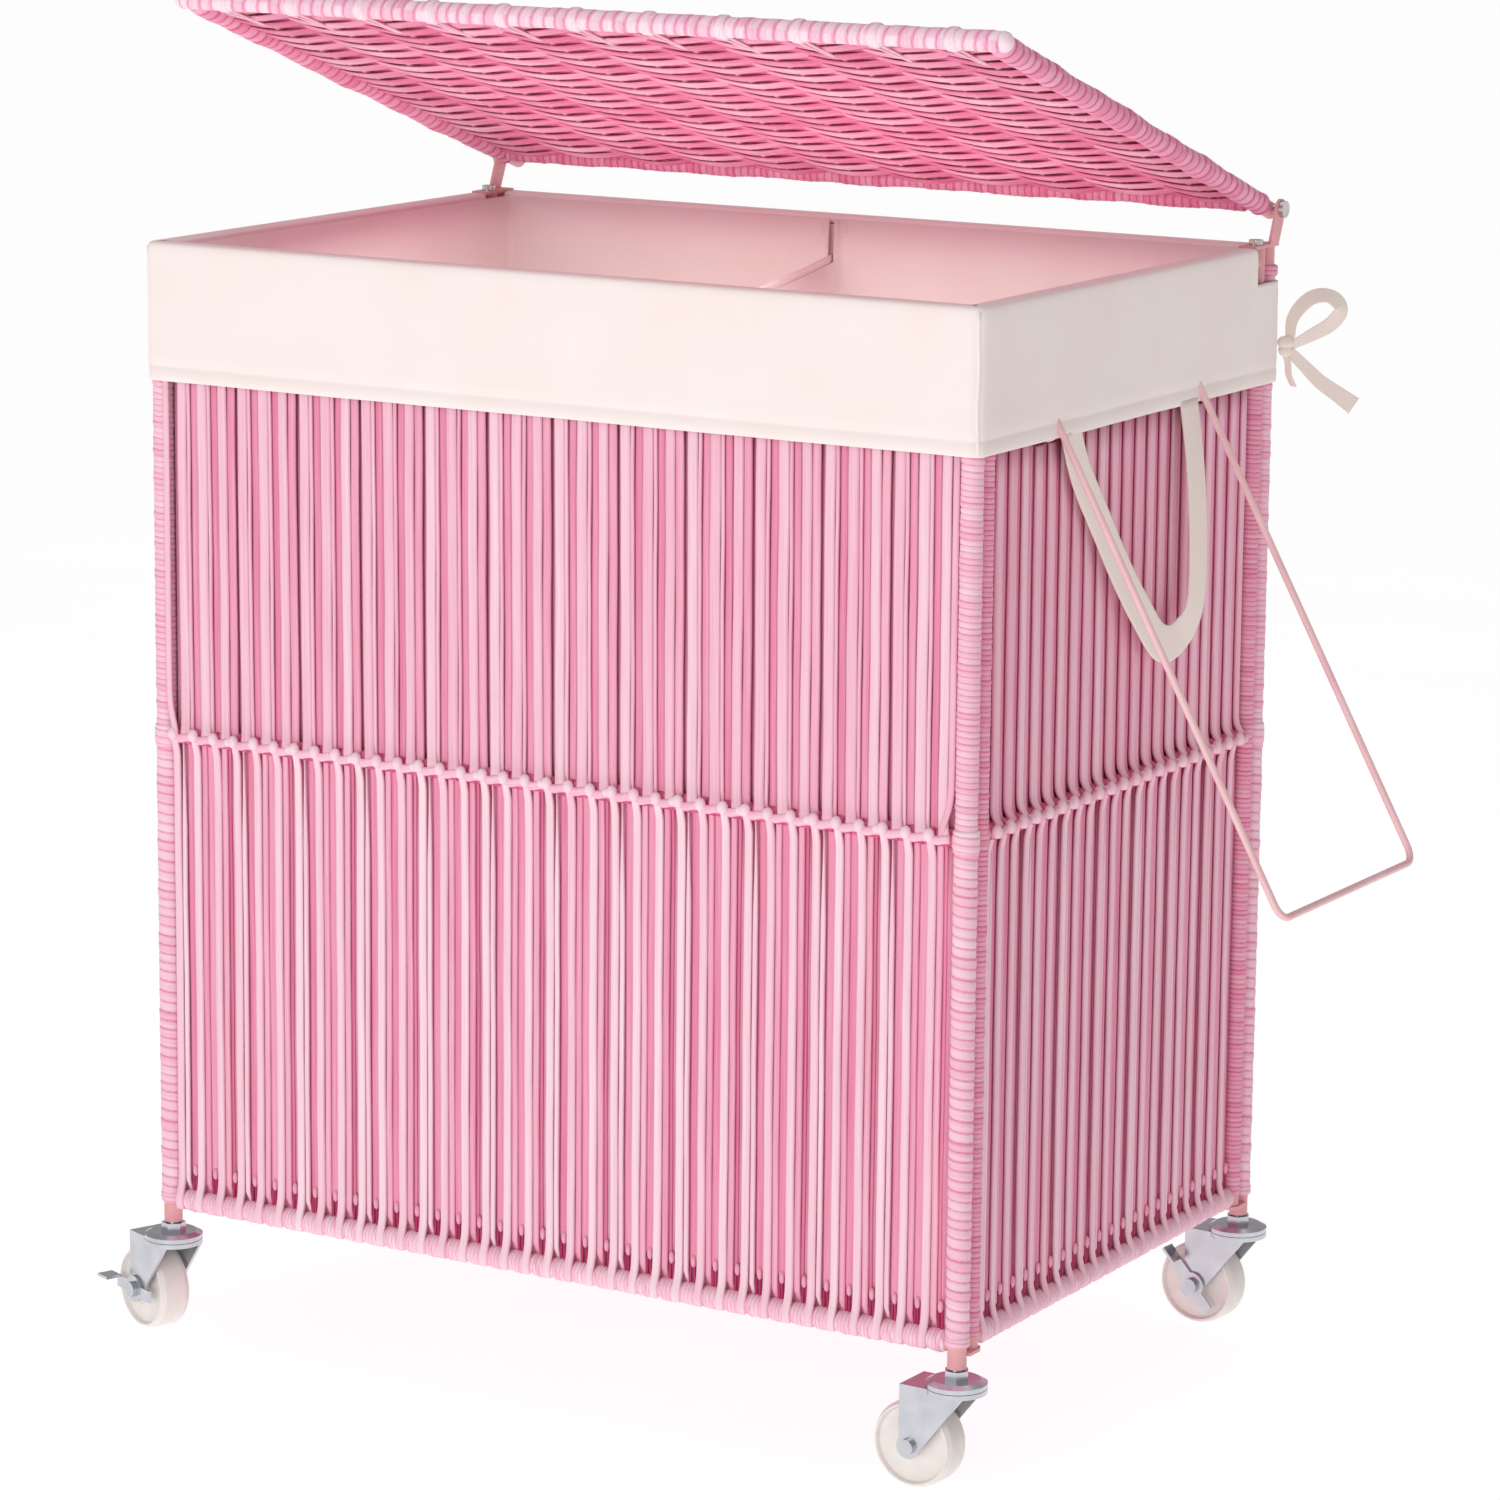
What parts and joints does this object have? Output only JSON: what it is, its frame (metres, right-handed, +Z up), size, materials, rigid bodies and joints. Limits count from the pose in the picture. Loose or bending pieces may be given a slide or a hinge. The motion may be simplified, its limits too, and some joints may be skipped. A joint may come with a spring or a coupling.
{
  "type": "laundry sorter on wheels",
  "caption": "Rolling laundry sorter: woven strand panels on a steel tube frame, a divided cloth liner, a hinged woven lid, a wire bail and swivel castors.",
  "frame": {"origin": "on the floor, midway between the four castor stems", "axes": "+X to the right seen from the front, +Y to the back where the lid is hinged, +Z up"},
  "size_m": [0.8104, 0.4638, 0.8788],
  "materials": {
    "frame_paint": "satin",
    "bail_paint": "satin",
    "screw_steel": "satin",
    "zinc": "satin",
    "nylon": "semi-gloss",
    "plug_plastic": "matte",
    "panel_strand": "satin",
    "wrap_strand": "satin",
    "lid_strand": "satin",
    "liner_cloth": "matte",
    "strap_cloth": "matte"
  },
  "bodies": {
    "frame": {"back_rails": "frame_paint", "base_bars": "frame_paint", "base_frame": "frame_paint", "base_weave": "panel_strand", "bracket_screws": "screw_steel", "front_rails": "frame_paint", "hinge_bracket_left": "frame_paint", "hinge_bracket_right": "frame_paint", "hinge_pivots": "screw_steel", "leg_back_left": "frame_paint", "leg_back_right": "frame_paint", "leg_front_left": "frame_paint", "leg_front_right": "frame_paint", "leg_plugs": "plug_plastic", "liner_bag_left": "liner_cloth", "liner_bag_right": "liner_cloth", "liner_cuff": "liner_cloth", "liner_divider": "liner_cloth", "link_plates": "frame_paint", "post_plugs": "plug_plastic", "rail_wraps": "wrap_strand", "side_frame_left": "frame_paint", "side_frame_right": "frame_paint", "strap_handle": "strap_cloth", "tie_bow": "strap_cloth", "upright_wraps": "wrap_strand", "weave_back": "panel_strand", "weave_front": "panel_strand", "weave_left": "panel_strand", "weave_right": "panel_strand", "castor_front_left_stem": "zinc", "castor_front_right_stem": "zinc", "castor_back_left_stem": "zinc", "castor_back_right_stem": "zinc"},
    "lid": {"lid_back_rail": "frame_paint", "lid_collars": "lid_strand", "lid_end_caps": "lid_strand", "lid_front_rail": "frame_paint", "lid_rail_wraps": "lid_strand", "lid_side_rail_left": "frame_paint", "lid_side_rail_right": "frame_paint", "lid_stakes": "frame_paint", "lid_weave": "lid_strand"},
    "bail": {"wire_bail": "bail_paint"},
    "castor_front_left_swivel": {"castor_front_left_fork": "zinc", "castor_front_left_axle": "zinc"},
    "castor_front_left_roller": {"castor_front_left_wheel": "nylon"},
    "castor_front_left_lever": {"castor_front_left_brake_lever": "zinc"},
    "castor_front_right_swivel": {"castor_front_right_fork": "zinc", "castor_front_right_axle": "zinc"},
    "castor_front_right_roller": {"castor_front_right_wheel": "nylon"},
    "castor_back_left_swivel": {"castor_back_left_fork": "zinc", "castor_back_left_axle": "zinc"},
    "castor_back_left_roller": {"castor_back_left_wheel": "nylon"},
    "castor_back_right_swivel": {"castor_back_right_fork": "zinc", "castor_back_right_axle": "zinc"},
    "castor_back_right_roller": {"castor_back_right_wheel": "nylon"},
    "castor_back_right_lever": {"castor_back_right_brake_lever": "zinc"}
  },
  "joints": [
    {"name": "lid_hinge", "type": "hinge", "parent": "frame", "child": "lid", "pos_m": [0, 0.205, 0.743], "axis": [-1, 0, 0], "range_deg": [-20.9, 76]},
    {"name": "bail_swing", "type": "hinge", "parent": "frame", "child": "bail", "pos_m": [0.292, 0, 0.64], "axis": [0, -1, 0], "range_deg": [-26.7, 31.3]},
    {"name": "front_left_swivel", "type": "hinge", "parent": "frame", "child": "castor_front_left_swivel", "pos_m": [-0.292, -0.195, 0.0688], "axis": [0, 0, 1], "continuous": true},
    {"name": "front_left_roll", "type": "hinge", "parent": "castor_front_left_swivel", "child": "castor_front_left_roller", "pos_m": [-0.31518, -0.18563, 0.0275], "axis": [-0.3746, -0.9272, 0], "continuous": true},
    {"name": "front_left_brake", "type": "hinge", "parent": "castor_front_left_swivel", "child": "castor_front_left_lever", "pos_m": [-0.31518, -0.18563, 0.0275], "axis": [0.3746, 0.9272, 0], "range_deg": [0, 48]},
    {"name": "front_right_swivel", "type": "hinge", "parent": "frame", "child": "castor_front_right_swivel", "pos_m": [0.292, -0.195, 0.0688], "axis": [0, 0, 1], "continuous": true},
    {"name": "front_right_roll", "type": "hinge", "parent": "castor_front_right_swivel", "child": "castor_front_right_roller", "pos_m": [0.26702, -0.19413, 0.0275], "axis": [-0.0349, -0.9994, 0], "continuous": true},
    {"name": "back_left_swivel", "type": "hinge", "parent": "frame", "child": "castor_back_left_swivel", "pos_m": [-0.292, 0.195, 0.0688], "axis": [0, 0, 1], "continuous": true},
    {"name": "back_left_roll", "type": "hinge", "parent": "castor_back_left_swivel", "child": "castor_back_left_roller", "pos_m": [-0.31676, 0.19848, 0.0275], "axis": [-0.1392, -0.9903, 0], "continuous": true},
    {"name": "back_right_swivel", "type": "hinge", "parent": "frame", "child": "castor_back_right_swivel", "pos_m": [0.292, 0.195, 0.0688], "axis": [0, 0, 1], "continuous": true},
    {"name": "back_right_roll", "type": "hinge", "parent": "castor_back_right_swivel", "child": "castor_back_right_roller", "pos_m": [0.26706, 0.19674, 0.0275], "axis": [-0.0698, -0.9976, 0], "continuous": true},
    {"name": "back_right_brake", "type": "hinge", "parent": "castor_back_right_swivel", "child": "castor_back_right_lever", "pos_m": [0.26706, 0.19674, 0.0275], "axis": [0.0698, 0.9976, 0], "range_deg": [-48, 0]}
  ]
}
